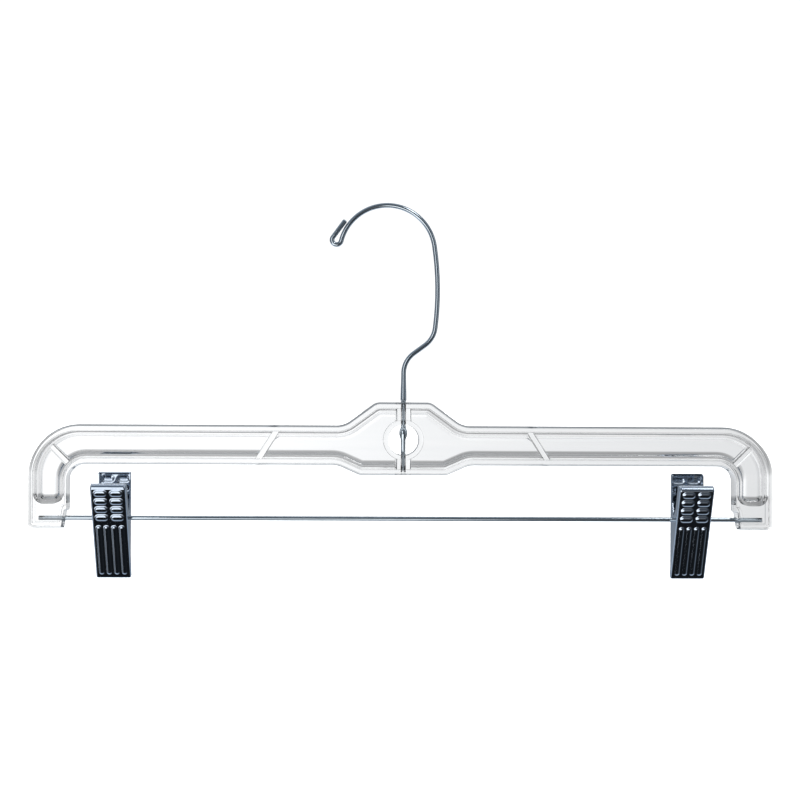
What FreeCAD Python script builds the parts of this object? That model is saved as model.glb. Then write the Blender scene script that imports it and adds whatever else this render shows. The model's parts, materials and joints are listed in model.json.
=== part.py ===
"""Clear skirt and trouser hanger with a swivel hook, a wire bar and two spring clips.

Millimetres. X runs along the arms, -Y is the front, +Z is up. The origin is the seat of the rail:
the point inside the hook that stands straight above the shank.
"""
import FreeCAD, Part
import math
import os

V = FreeCAD.Vector

# Overall sizes of the clear body, at its parting line. Heights are counted from the wire bar's axis.
BODY_LENGTH = 355.6
ARM_TOP = 44.5
ARM_BOTTOM = 25.5
BODY_DEPTH = 11.0
FOOT_DROP = 4.8            # the end blocks reach this far under the bar's axis
DROP_ARM_WIDTH = 19.5
SHOULDER_R = 24.4
ARMPIT_R = 7.5
FOOT_R = 2.2

# Wider centre
CENTRE_TOP = 55.6
CENTRE_BOTTOM = 20.7
CENTRE_TOP_HALF = 13.1
CENTRE_SLOPE_HALF = 28.3
CENTRE_BOTTOM_HALF = 20.7
CENTRE_UNDER_HALF = 31.6
CENTRE_R = 6.0
SLOPE_R = 11.0

# Wall of the moulding
DRAFT = 0.8                # each side leans in by this much from the parting line to the face
RIM = 2.0                  # width of the rim's face
WEB = 1.6
COVE_R = 4.7               # between the web and the rims
POCKET_R = 5.0
BLOCK_TOP = 6.7            # the end blocks are solid up to here
BLOCK_RECESS = 1.0         # their faces lie this far behind the rim's face
BLOCK_STEP_Z = 3.7         # under this height a block's inner side steps in
BLOCK_STEP = 1.2
BLOCK_LEAN = 1.3           # and leans in by this much more at its foot
BLOCK_CORNER_R = 0.5

# Window and shank bosses
WINDOW_Z = 37.7
WINDOW_R = 7.3
RING_R = 9.65
RING_DEPTH = 9.0
BOSS_WIDTH = 8.2
BOSS_DEPTH = 8.8
RIB_WIDTH = 3.4
RIB_DEPTH = 8.6
SLASH_TOP_X = 60.5
SLASH_LEAN = 8.5           # the foot of a slash rib stands this much further out than its top
CORNER_RIB_Z = 34.8

# Hook: round wire, bent in one plane as a wire former does it
WIRE_R = 1.15
SHANK_FOOT = 22.9
SHANK_TOP = 69.6
NECK_BEND = (11.7, 53.5)   # radius, turn in degrees
SLANT = 6.8
SIDE_BEND = (12.0, 46.5)
BOW_BEND = (145.0, 15.5)
TOP_BEND = (22.8, 157.5)
TIP_BEND = (2.2, 202.0)
TIP_LENGTH = 10.2
FLARE_R = 1.42
FLARE_FOOT_GAP = 0.7       # between the flare and the top boss
FLARE_LENGTH = 12.4
BEAD_R = 2.0
BEAD_LENGTH = 5.8
BEAD_GAP = 0.4             # between the bead's collar and the top boss
COLLAR_R = 1.35
COLLAR_LENGTH = 0.9
RUNNING_CLEARANCE = 0.06

# Wire bar
BAR_R = 1.1
BAR_SEAT = 14.4            # how deep each end sits in its block
BAR_PRESS = 0.01

# Pinch clips
CLIP_X = 138.0
CLIP_WIDTH = 16.6
SHEET = 0.5
LEG_HANDLE = 21.8          # above the bar
LEG_JAW = 28.3             # below the bar
FACE_OFFSET = 8.9          # from the bar's axis to a leg's outer face
LEG_ANGLE = 26.0           # between the two faces when the clip is shut
HANDLE_FLANGE = 4.8
EAR_R = 3.0
EAR_TOP = 8.0              # where the flange begins to widen to the ear
JAW_SETBACK = 0.9
JAW_GAP = 0.12             # from the clip's middle plane to a jaw's teeth
TEETH = 5
TOOTH = 1.35
TOOTH_DEPTH = 0.6
NEST_CLEARANCE = 0.15
FLANGE_CORNER_R = 1.6

# Pressed pattern on both faces of a clip
EMBOSS = 0.45
OVAL_LENGTH, OVAL_WIDTH = 6.2, 3.4
OVAL_PITCH, OVAL_COLUMN = 4.33, 3.7
OVAL_ROWS = 4
OVAL_TOP = 3.7             # from the top edge to the first row's middle
BAR_RIB_WIDTH, BAR_RIB_LENGTH, BAR_RIB_PITCH = 2.6, 26.9, 3.6
BAR_RIBS = 4
BAR_RIB_FOOT = 2.3         # from the jaw edge to the ribs' lower end

# Clip spring: a strip bent round the bar
SPRING_WIDTH = 9.0
SPRING_SHEET = 0.4
SPRING_ARM = 16.0
SPRING_GAP = 0.3

CAVITY = 60.0              # longer than anything it cuts
OVERLAP = 0.6              # how far ribs and bosses run into the walls they join


def turned(point, degrees):
    """A (y, z) pair turned about the bar's axis, from +Y towards +Z."""
    a = math.radians(degrees)
    y, z = point
    return y * math.cos(a) - z * math.sin(a), y * math.sin(a) + z * math.cos(a)


def rounded_outline(corners, y):
    """A closed wire in the plane Y=y from (x, z, radius) corners given clockwise from the front."""
    edges, tangents = [], []
    count = len(corners)
    for i, (x, z, r) in enumerate(corners):
        here = V(x, y, z)
        before = V(corners[i - 1][0], y, corners[i - 1][1])
        after = V(corners[(i + 1) % count][0], y, corners[(i + 1) % count][1])
        a = (before - here).normalize()
        b = (after - here).normalize()
        half = a.getAngle(b) / 2
        run = r / math.tan(half)
        middle = (a + b).normalize() * (r / math.sin(half) - r)
        tangents.append((here + a * run, here + middle, here + b * run))
    for i, (start, middle, end) in enumerate(tangents):
        edges.append(Part.Arc(start, middle, end).toShape())
        edges.append(Part.LineSegment(end, tangents[(i + 1) % count][0]).toShape())
    return Part.Wire(edges)


def inset_corners(corners, inset, least_r=0.2):
    """Every side of the outline moved in by inset, with its round corners moved along."""
    moved = []
    count = len(corners)
    for i, (x, z, r) in enumerate(corners):
        px, pz, _ = corners[i - 1]
        nx, nz, _ = corners[(i + 1) % count]
        ax, az = x - px, z - pz
        bx, bz = nx - x, nz - z
        la, lb = math.hypot(ax, az), math.hypot(bx, bz)
        ax, az, bx, bz = ax / la, az / la, bx / lb, bz / lb
        turn = ax * bz - az * bx
        # the inside lies to the right of each side
        mx, mz = (az + bz), -(ax + bx)
        scale = inset / (1 + ax * bx + az * bz)
        new_r = r + inset if turn > 0 else max(r - inset, least_r)
        moved.append((x + mx * scale, z + mz * scale, new_r))
    return moved


def body_corners(foot=-FOOT_DROP, foot_r=FOOT_R, stepped=True):
    """The body's outline at the parting line, clockwise from the top of the centre."""
    end = BODY_LENGTH / 2
    inner = end - DROP_ARM_WIDTH
    if stepped:
        feet = [
            (inner + BLOCK_STEP + BLOCK_LEAN, foot, BLOCK_CORNER_R),
            (inner + BLOCK_STEP, BLOCK_STEP_Z, BLOCK_CORNER_R),
            (inner, BLOCK_STEP_Z, BLOCK_CORNER_R),
        ]
    else:
        feet = [(inner, foot, foot_r)]
    right = [
        (CENTRE_TOP_HALF, CENTRE_TOP, CENTRE_R),
        (CENTRE_SLOPE_HALF, ARM_TOP, SLOPE_R),
        (end, ARM_TOP, SHOULDER_R),
        (end, foot, foot_r),
        *feet,
        (inner, ARM_BOTTOM, ARMPIT_R),
        (CENTRE_UNDER_HALF, ARM_BOTTOM, SLOPE_R),
        (CENTRE_BOTTOM_HALF, CENTRE_BOTTOM, CENTRE_R),
    ]
    return right + [(-x, z, r) for x, z, r in reversed(right)]


def prism(points, y0, y1):
    """A flat-sided solid from (x, z) points, between two depths."""
    wire = Part.makePolygon([V(x, y0, z) for x, z in points + points[:1]])
    return Part.Face(wire).extrude(V(0, y1 - y0, 0))


def slab(width, points, x=0.0):
    """A solid of the given width along X from (y, z) points, centred on x."""
    wire = Part.makePolygon([V(x - width / 2, y, z) for y, z in points + points[:1]])
    return Part.Face(wire).extrude(V(width, 0, 0))


def rib(top, foot, width, reach):
    """A straight rib across the web between two (x, z) points, run on by reach at both ends."""
    along = V(foot[0] - top[0], 0, foot[1] - top[1]).normalize()
    side = V(-along.z, 0, along.x) * (width / 2)
    a = V(top[0], 0, top[1]) - along * reach
    b = V(foot[0], 0, foot[1]) + along * reach
    points = [(p.x, p.z) for p in (a - side, a + side, b + side, b - side)]
    return prism(points, -RIB_DEPTH / 2, RIB_DEPTH / 2)


def body_blank():
    """The body before its pockets: two drafted halves that meet at the parting line."""
    parting = rounded_outline(body_corners(), 0)
    halves = []
    for y in (-BODY_DEPTH / 2, BODY_DEPTH / 2):
        face = rounded_outline(inset_corners(body_corners(), DRAFT), y)
        halves.append(Part.makeLoft([parting, face], True, True))
    return halves[0].fuse(halves[1])


def body_pocket(side):
    """The hollow between the rims on one side of the web, with its cove."""
    floor = side * WEB / 2
    rim = DRAFT + RIM
    corners = body_corners(BLOCK_TOP - rim, POCKET_R + rim, stepped=False)
    outline = rounded_outline(inset_corners(corners, rim, POCKET_R), floor)
    pocket = Part.Face(outline).extrude(V(0, side * (BODY_DEPTH / 2 + COVE_R), 0))
    floor_edges = [
        e for e in pocket.Edges if abs(e.BoundBox.YMin - floor) < 1e-6 and e.BoundBox.YLength < 1e-6
    ]
    return pocket.makeFillet(COVE_R, floor_edges)


def body_recess(side):
    """The shallow recess inside the rims, which runs on over the end blocks."""
    floor = side * (BODY_DEPTH / 2 - BLOCK_RECESS)
    outline = rounded_outline(inset_corners(body_corners(), DRAFT + RIM), floor)
    return Part.Face(outline).extrude(V(0, side * BODY_DEPTH / 2, 0))


def body_ribs():
    """Slash ribs across the arms and corner ribs across the shoulders, as one shape."""
    inner = BODY_LENGTH / 2 - DROP_ARM_WIDTH
    top, foot = ARM_TOP - DRAFT - RIM, ARM_BOTTOM + DRAFT + RIM
    drop = CORNER_RIB_Z - ARM_BOTTOM
    ribs = []
    for side in (-1, 1):
        ribs.append(
            rib(
                (side * SLASH_TOP_X, top),
                (side * (SLASH_TOP_X + SLASH_LEAN), foot),
                RIB_WIDTH,
                OVERLAP,
            )
        )
        ribs.append(rib((side * (inner + drop), CORNER_RIB_Z), (side * inner, ARM_BOTTOM), RIB_WIDTH, -1.0))
    return ribs


def hanger_body():
    """The one clear moulding."""
    body = body_blank()
    for side in (-1, 1):
        body = body.cut([body_pocket(side), body_recess(side)])
    ring = Part.makeCylinder(RING_R, RING_DEPTH, V(0, -RING_DEPTH / 2, WINDOW_Z), V(0, 1, 0))
    boss_foot = CENTRE_BOTTOM + OVERLAP
    boss_corner = V(-BOSS_WIDTH / 2, -BOSS_DEPTH / 2, boss_foot)
    boss = Part.makeBox(BOSS_WIDTH, BOSS_DEPTH, CENTRE_TOP - OVERLAP - boss_foot, boss_corner)
    body = body.fuse([ring, boss] + body_ribs())
    window = Part.makeCylinder(WINDOW_R, CAVITY, V(0, -CAVITY / 2, WINDOW_Z), V(0, 1, 0))
    shank_hole = Part.makeCylinder(
        WIRE_R + RUNNING_CLEARANCE, CAVITY, V(0, 0, SHANK_FOOT - OVERLAP)
    )
    block_face = BODY_LENGTH / 2 - DROP_ARM_WIDTH
    bar_hole = Part.makeCylinder(
        BAR_R - BAR_PRESS, 2 * (block_face + BAR_SEAT), V(-block_face - BAR_SEAT, 0, 0), V(1, 0, 0)
    )
    return body.cut([window, shank_hole, bar_hole]).removeSplitter()


def hook_path():
    """The bent wire's centre line from the shank's top to the tip, and the top bend's centre."""
    place, heading = V(0, 0, SHANK_TOP), 90.0
    edges = []

    def bend(radius, turn):
        """One bend: a positive turn goes left, seen from the front."""
        nonlocal place, heading
        side = math.copysign(1, turn)

        def at(direction):
            a = math.radians(direction)
            return centre + V(math.sin(a), 0, -math.cos(a)) * (side * radius)

        a = math.radians(heading)
        centre = place + V(-math.sin(a), 0, math.cos(a)) * (side * radius)
        end = at(heading + turn)
        edges.append(Part.Arc(place, at(heading + turn / 2), end).toShape())
        place, heading = end, heading + turn
        return centre

    def straight(length):
        nonlocal place
        a = math.radians(heading)
        end = place + V(math.cos(a), 0, math.sin(a)) * length
        edges.append(Part.LineSegment(place, end).toShape())
        place = end

    bend(NECK_BEND[0], -NECK_BEND[1])
    straight(SLANT)
    bend(*SIDE_BEND)
    bend(*BOW_BEND)
    top_centre = bend(*TOP_BEND)
    bend(TIP_BEND[0], -TIP_BEND[1])
    straight(TIP_LENGTH)
    return Part.Wire(edges), top_centre


def seat_height():
    """Height of the rail's seat over the bar's axis: inside the top bend, above the shank."""
    centre = hook_path()[1]
    return centre.z + math.sqrt((TOP_BEND[0] - WIRE_R) ** 2 - centre.x**2)


def swivel_hook():
    """The hook: a bent wire on a turned-looking shank with a flare and a bead."""
    path = hook_path()[0]
    section = Part.Wire(Part.makeCircle(WIRE_R, V(0, 0, SHANK_TOP), V(0, 0, 1)))
    bent = path.makePipeShell([section], True, True)
    flare_foot = CENTRE_TOP + FLARE_FOOT_GAP
    collar_top = WINDOW_Z + math.sqrt(WINDOW_R**2 - COLLAR_R**2) - BEAD_GAP
    collar_foot = collar_top - COLLAR_LENGTH
    bead_wide = collar_foot - BEAD_LENGTH * 0.4
    profile = [
        (0, SHANK_FOOT),
        (WIRE_R - 0.3, SHANK_FOOT),
        (WIRE_R, SHANK_FOOT + 0.5),
        (WIRE_R, collar_foot - BEAD_LENGTH),
        (BEAD_R * 0.9, bead_wide - BEAD_LENGTH * 0.22),
        (BEAD_R, bead_wide),
        (BEAD_R * 0.9, bead_wide + BEAD_LENGTH * 0.22),
        (COLLAR_R, collar_foot),
        (COLLAR_R, collar_top),
        (WIRE_R, collar_top),
        (WIRE_R, flare_foot),
        (FLARE_R, flare_foot + 0.4),
        (WIRE_R, flare_foot + FLARE_LENGTH),
        (WIRE_R, SHANK_TOP),
        (0, SHANK_TOP),
    ]
    wire = Part.makePolygon([V(r, 0, z) for r, z in profile + profile[:1]])
    shank = Part.Face(wire).revolve(V(0, 0, 0), V(0, 0, 1), 360)
    return shank.fuse(bent).removeSplitter()


def wire_bar():
    """The straight bar between the two end blocks."""
    reach = BODY_LENGTH / 2 - DROP_ARM_WIDTH + BAR_SEAT
    return Part.makeCylinder(BAR_R, 2 * reach, V(-reach, 0, 0), V(1, 0, 0))


def obround(length, width, height, x, z, upright):
    """A raised pad with round ends, standing out of a leg's face at (x, z)."""
    straight = length - width
    step = V(0, 0, straight / 2) if upright else V(straight / 2, 0, 0)
    base = V(x, -FACE_OFFSET - height, z)
    depth = height + SHEET / 2
    ends = [Part.makeCylinder(width / 2, depth, base + s, V(0, 1, 0)) for s in (step, step * -1)]
    size = (width, depth, straight) if upright else (straight, depth, width)
    corner = V(base.x - size[0] / 2, base.y, base.z - size[2] / 2)
    return ends[0].fuse([ends[1], Part.makeBox(*size, corner)])


def face_pattern(shrink=0.0, sink=0.0):
    """The pressed ovals and ribs of one face, less shrink all round and sunk by sink."""
    pads = []
    top, jaw = LEG_HANDLE, -LEG_JAW
    for row in range(OVAL_ROWS):
        for side in (-1, 1):
            z = top - OVAL_TOP - row * OVAL_PITCH
            pads.append((OVAL_LENGTH, OVAL_WIDTH, side * OVAL_COLUMN, z, False))
    for i in range(BAR_RIBS):
        x = (i - (BAR_RIBS - 1) / 2) * BAR_RIB_PITCH
        z = jaw + BAR_RIB_FOOT + BAR_RIB_LENGTH / 2
        pads.append((BAR_RIB_LENGTH, BAR_RIB_WIDTH, x, z, True))
    solids = []
    for length, width, x, z, upright in pads:
        pad = obround(length - 2 * shrink, width - 2 * shrink, EMBOSS, x, z, upright)
        pad.translate(V(0, sink, 0))
        solids.append(pad)
    return solids


def flange_profile():
    """A leg's side outline as (y, z) points, with its outer face at y = -FACE_OFFSET."""
    half = math.radians(LEG_ANGLE / 2)
    face = -FACE_OFFSET

    def middle(z, gap):
        """The clip's middle plane in the leg's own frame, less a gap."""
        return z * math.tan(half) - gap

    handle = face + HANDLE_FLANGE
    corner = FLANGE_CORNER_R * (1 - math.sqrt(0.5))
    points = [
        (face, -LEG_JAW),
        (face, LEG_HANDLE - FLANGE_CORNER_R),
        (face + corner, LEG_HANDLE - corner),
        (face + FLANGE_CORNER_R, LEG_HANDLE),
        (handle - FLANGE_CORNER_R, LEG_HANDLE),
        (handle - corner, LEG_HANDLE - corner),
        (handle, LEG_HANDLE - FLANGE_CORNER_R),
        (handle, EAR_TOP),
    ]
    for i in range(9):
        a = math.radians(120 - i * 25)
        points.append((EAR_R * math.cos(a), EAR_R * math.sin(a)))
    tooth_top = -LEG_JAW + TEETH * TOOTH
    points.append((middle(-EAR_R * 1.6, JAW_SETBACK), -EAR_R * 1.6))
    points.append((middle(tooth_top, JAW_SETBACK), tooth_top))
    for i in range(TEETH):
        z = tooth_top - i * TOOTH
        points.append((middle(z, JAW_GAP + TOOTH_DEPTH), z))
        points.append((middle(z - TOOTH / 2, JAW_GAP), z - TOOTH / 2))
    points.append((middle(-LEG_JAW, JAW_GAP), -LEG_JAW))
    return points


def clip_leg(width):
    """One pressed leg in its own frame: face at the front, flanges towards +Y, bar axis at the origin."""
    leg = slab(width, flange_profile())
    inside = Part.makeBox(
        width - 2 * SHEET,
        CAVITY,
        LEG_HANDLE + LEG_JAW - 2 * SHEET,
        V(-width / 2 + SHEET, -FACE_OFFSET + SHEET, -LEG_JAW + SHEET),
    )
    leg = leg.cut(inside)
    leg = leg.fuse(face_pattern()).cut(face_pattern(shrink=SHEET, sink=SHEET))
    hole = Part.makeCylinder(BAR_R + RUNNING_CLEARANCE, width, V(-width / 2, 0, 0), V(1, 0, 0))
    return leg.cut(hole).removeSplitter()


def front_leg():
    """The wider leg, leaning forward at its top by the whole angle of the clip."""
    leg = clip_leg(CLIP_WIDTH)
    leg.rotate(V(0, 0, 0), V(1, 0, 0), LEG_ANGLE)
    return leg


def back_leg():
    """The narrower leg, upright behind the bar, its ears between the front leg's ears."""
    leg = clip_leg(CLIP_WIDTH - 2 * SHEET - 2 * NEST_CLEARANCE)
    leg.rotate(V(0, 0, 0), V(0, 0, 1), 180)
    return leg


def clip_spring():
    """A strip bent under the bar, with an arm up to the inside of each leg's handle."""
    loop_r = BAR_R + RUNNING_CLEARANCE + SPRING_SHEET / 2
    depth = FACE_OFFSET - SHEET - SPRING_GAP - SPRING_SHEET / 2
    front_end = turned((-depth, SPRING_ARM), LEG_ANGLE)
    back_end = (depth, SPRING_ARM)

    def tangent(point, side):
        """Where the line from an arm's end touches the loop."""
        distance = math.hypot(*point)
        direction = math.atan2(point[1], point[0])
        a = direction + side * math.acos(loop_r / distance)
        return loop_r * math.cos(a), loop_r * math.sin(a)

    front_touch, back_touch = tangent(front_end, 1), tangent(back_end, -1)
    ends = [V(0, *p) for p in (front_end, front_touch, back_touch, back_end)]
    path = Part.Wire(
        [
            Part.LineSegment(ends[0], ends[1]).toShape(),
            Part.Arc(ends[1], V(0, 0, -loop_r), ends[2]).toShape(),
            Part.LineSegment(ends[2], ends[3]).toShape(),
        ]
    )
    along = (ends[1] - ends[0]).normalize()
    across = V(0, -along.z, along.y) * (SPRING_SHEET / 2)
    wide = V(SPRING_WIDTH / 2, 0, 0)
    corners = [ends[0] + a + b for a, b in ((across, wide), (across, -wide), (-across, -wide), (-across, wide))]
    section = Part.makePolygon(corners + corners[:1])
    return path.makePipeShell([section], True, True)


def export(name, shape, x=0.0):
    """Put a piece in the row's frame and write it."""
    shape = shape.copy()
    shape.translate(V(x, 0, -seat_height()))
    solids = shape.Solids
    assert len(solids) == 1 and shape.isValid(), name
    solids[0].exportStep(f"parts/{name}.step")


def main():
    os.makedirs("parts", exist_ok=True)
    export("hanger_body", hanger_body())
    export("swivel_hook", swivel_hook())
    export("wire_bar", wire_bar())
    clip = {"front_leg": front_leg(), "back_leg": back_leg(), "spring": clip_spring()}
    for side, x in (("left", -CLIP_X), ("right", CLIP_X)):
        for name, shape in clip.items():
            export(f"{side}_clip_{name}", shape, x)
    print(f"rail seat {seat_height():.3f} mm above the bar's axis")


main()
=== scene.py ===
"""The finished look of a clear skirt and trouser hanger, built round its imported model.

Metres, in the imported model's frame: X along the arms, -Y the front, +Z up, the origin at the rail's seat.
"""

import json
import math

import bmesh
import bpy
from mathutils import Matrix, Vector

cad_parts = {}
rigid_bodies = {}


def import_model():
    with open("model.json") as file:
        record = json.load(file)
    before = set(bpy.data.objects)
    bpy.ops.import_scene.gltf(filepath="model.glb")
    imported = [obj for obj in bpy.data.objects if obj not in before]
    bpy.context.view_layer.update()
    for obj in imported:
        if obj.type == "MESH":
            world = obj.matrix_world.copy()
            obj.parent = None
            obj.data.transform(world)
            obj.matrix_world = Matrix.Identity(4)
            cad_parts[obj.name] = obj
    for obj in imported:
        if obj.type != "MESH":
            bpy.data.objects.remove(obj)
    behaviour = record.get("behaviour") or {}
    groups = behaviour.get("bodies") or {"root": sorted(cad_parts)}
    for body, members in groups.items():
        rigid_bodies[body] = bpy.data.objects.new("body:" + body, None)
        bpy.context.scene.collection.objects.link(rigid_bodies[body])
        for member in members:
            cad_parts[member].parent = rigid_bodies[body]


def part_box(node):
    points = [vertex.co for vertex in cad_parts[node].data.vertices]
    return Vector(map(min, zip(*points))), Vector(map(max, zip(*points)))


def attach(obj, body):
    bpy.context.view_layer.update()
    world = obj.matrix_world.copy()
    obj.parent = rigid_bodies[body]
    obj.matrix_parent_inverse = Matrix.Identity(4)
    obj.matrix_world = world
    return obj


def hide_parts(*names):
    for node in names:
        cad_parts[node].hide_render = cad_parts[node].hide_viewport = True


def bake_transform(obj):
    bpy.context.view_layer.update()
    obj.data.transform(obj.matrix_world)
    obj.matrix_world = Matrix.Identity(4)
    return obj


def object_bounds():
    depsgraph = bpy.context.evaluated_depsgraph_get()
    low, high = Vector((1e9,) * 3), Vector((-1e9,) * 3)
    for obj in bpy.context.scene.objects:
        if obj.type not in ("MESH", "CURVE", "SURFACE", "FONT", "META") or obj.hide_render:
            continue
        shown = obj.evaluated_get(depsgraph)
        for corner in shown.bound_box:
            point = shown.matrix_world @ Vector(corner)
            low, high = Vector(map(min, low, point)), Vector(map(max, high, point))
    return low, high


bl_info = {
    "name": "Clear clip hanger",
    "version": (1, 0, 0),
    "blender": (4, 5, 0),
    "location": "View3D > Sidebar > Hanger",
    "description": "Builds the moulded body, the wires, the clips and the studio of a clear clip hanger",
    "category": "Object",
}

for spare in list(bpy.data.objects):      # whatever the start-up file holds
    bpy.data.objects.remove(spare)
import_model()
CAD_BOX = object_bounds()

MM = 0.001
MERGE = 0.001 * MM             # points closer than this are one
HOOK_GAP = 0.06 * MM           # between the shank and its bore, all round
PRESS_FIT = 0.01 * MM          # the bar's bore is this much under its wire, all round
QUARTER = (0, 30, 60, 90)      # degrees round a small rounded edge
WIRE_SIDES = 40                # round each wire and the bores that it runs in
RING_SIDES = 96                # round the window's ring
COVE_STEPS = 12
BEAD_STEPS = 16
TUMBLE_STEPS = 5               # round the hook's cut end
BAR_STEPS = 60
FOLD_STEPS = 4                 # grid lines across each fold of a leg
WALL_STEPS = 5                 # and from its fold to a wall's free edge
LEG_GRID = 0.3 * MM            # fine enough for the pressed pattern
LOOP_STEPS = 24                # round the spring's loop
ARM_STEPS = 12                 # along each of its arms
BEYOND_FACES = 20 * MM         # a cutter this long passes both faces of the body
ABOVE_CENTRE = 80 * MM         # and one this high passes the top of its centre
BAR_Z = sum(corner.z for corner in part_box("wire_bar")) / 2
CLIP_X = sum(corner.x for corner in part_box("right_clip_front_leg")) / 2
BODY_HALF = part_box("hanger_body")[1].x


# ---------------------------------------------------------------- sizes and colours a user may change

def linear(hexadecimal):
    """An sRGB hex colour as the linear values that Blender works in."""
    values = [int(hexadecimal[i:i + 2], 16) / 255 for i in (1, 3, 5)]
    return tuple(v / 12.92 if v <= 0.04045 else ((v + 0.055) / 1.055) ** 2.4 for v in values)


def size(name, description, millimetres):
    return bpy.props.FloatProperty(
        name=name, description=description, default=millimetres * MM,
        subtype="DISTANCE", unit="LENGTH", precision=5,
    )


def angle(name, description, degrees):
    return bpy.props.FloatProperty(
        name=name, description=description, default=math.radians(degrees),
        subtype="ANGLE", unit="ROTATION",
    )


def colour(name, description, hexadecimal):
    return bpy.props.FloatVectorProperty(
        name=name, description=description, default=linear(hexadecimal),
        subtype="COLOR", size=3, min=0.0, max=1.0,
    )


class BodySizes(bpy.types.PropertyGroup):
    """The clear moulding. Heights are counted from the wire bar's axis."""
    arm_top: size("Arm top", "Top of the arms", 44.5)
    arm_bottom: size("Arm bottom", "Underside of the arms", 25.5)
    depth: size("Depth", "Front face to back face", 11.0)
    foot: size("Foot", "How far the end blocks reach under the bar", 4.8)
    drop_arm: size("Drop arm", "Width of each drop arm", 19.5)
    shoulder_r: size("Shoulder", "Outer corner radius", 24.4)
    armpit_r: size("Armpit", "Inner corner radius", 7.5)
    foot_r: size("Foot corner", "Outer corner radius of an end block", 2.2)
    centre_top: size("Centre top", "Top of the raised centre", 55.6)
    centre_bottom: size("Centre bottom", "Underside of the lowered centre", 20.7)
    centre_top_half: size("Centre top half width", "Half the flat on top of the centre", 13.1)
    centre_slope_half: size("Centre slope", "Where the slope meets the arm", 28.3)
    centre_bottom_half: size("Centre bottom half width", "Half the flat under the centre", 20.7)
    centre_under_half: size("Centre under slope", "Where the lower slope meets the arm", 31.6)
    centre_r: size("Centre corner", "Corner radius of the centre", 6.0)
    slope_r: size("Slope corner", "Radius where a slope meets an arm", 11.0)
    draft: size("Draft", "How far each side leans in by the face", 0.8)
    rim: size("Rim", "Width of the rim's face", 2.0)
    web: size("Web", "Thickness of the web", 1.6)
    cove_r: size("Cove", "Radius between web and rim", 4.7)
    pocket_r: size("Pocket corner", "Corner radius of the pockets", 5.0)
    edge_r: size("Edge", "Rounding of the moulding's edges", 0.22)
    block_top: size("Block top", "The end blocks are solid up to here", 6.7)
    block_recess: size("Block recess", "How far the blocks' faces lie behind the rims", 1.0)
    block_step_z: size("Block step height", "Where a block's inner side steps in", 3.7)
    block_step: size("Block step", "How far it steps in", 1.2)
    block_lean: size("Block lean", "How far it leans in below the step", 1.3)
    window_z: size("Window height", "Middle of the round window", 37.7)
    window_r: size("Window", "Radius of the round window", 7.3)
    ring_r: size("Window ring", "Outer radius of the ring round the window", 9.65)
    ring_depth: size("Ring depth", "Front to back of the ring", 9.0)
    boss_width: size("Shank boss", "Width of the boss round the shank", 8.2)
    boss_depth: size("Boss depth", "Front to back of the boss", 8.8)
    rib_width: size("Rib width", "Width of the stiffening ribs", 3.4)
    rib_depth: size("Rib depth", "Front to back of the stiffening ribs", 8.6)
    rib_lean: size("Rib lean", "How far each side of a rib leans in by its face", 0.35)
    slash_x: size("Slash rib", "Top end of the slash ribs, from the middle", 60.5)
    slash_lean: size("Slash lean", "How far a slash rib's foot stands out", 8.5)
    corner_rib_z: size("Corner rib", "Upper end of the shoulder ribs", 34.8)
    seat: size("Bar seat", "How deep each end of the bar sits in its block", 14.4)


class WireSizes(bpy.types.PropertyGroup):
    """The swivel hook and the straight bar, both of drawn wire."""
    wire_r: size("Hook wire", "Radius of the hook's wire", 1.15)
    bar_r: size("Bar wire", "Radius of the bar", 1.1)
    shank_foot: size("Shank foot", "Lower end of the shank, above the bar's axis", 22.9)
    shank_top: size("Shank top", "Where the first bend begins, above the bar's axis", 69.6)
    neck_r: size("Neck bend", "Radius of the first bend", 11.7)
    neck_turn: angle("Neck turn", "Turn of the first bend, to the right", 53.5)
    slant: size("Slant", "Straight run after the neck", 6.8)
    side_r: size("Side bend", "Radius of the bend at the side", 12.0)
    side_turn: angle("Side turn", "Turn of the side bend, to the left", 46.5)
    bow_r: size("Bow", "Radius of the slow bow", 145.0)
    bow_turn: angle("Bow turn", "Turn of the slow bow", 15.5)
    top_r: size("Top bend", "Radius of the bend over the rail", 22.8)
    top_turn: angle("Top turn", "Turn of the bend over the rail", 157.5)
    tip_r: size("Tip curl", "Radius of the curled tip", 2.2)
    tip_turn: angle("Tip turn", "Turn of the curled tip, to the right", 202.0)
    tip_length: size("Tip length", "Straight run at the end of the wire", 10.2)
    flare_r: size("Flare", "Radius of the pressed flare on the shank", 1.42)
    flare_gap: size("Flare gap", "From the boss to the flare", 0.7)
    flare_length: size("Flare length", "Height of the flare", 12.4)
    bead_r: size("Bead", "Radius of the upset bead in the window", 2.0)
    bead_length: size("Bead length", "Height of the bead", 5.8)
    collar_r: size("Collar", "Radius of the collar over the bead", 1.35)
    collar_length: size("Collar length", "Height of the collar", 0.9)
    collar_gap: size("Collar gap", "From the collar to the boss", 0.4)


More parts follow.
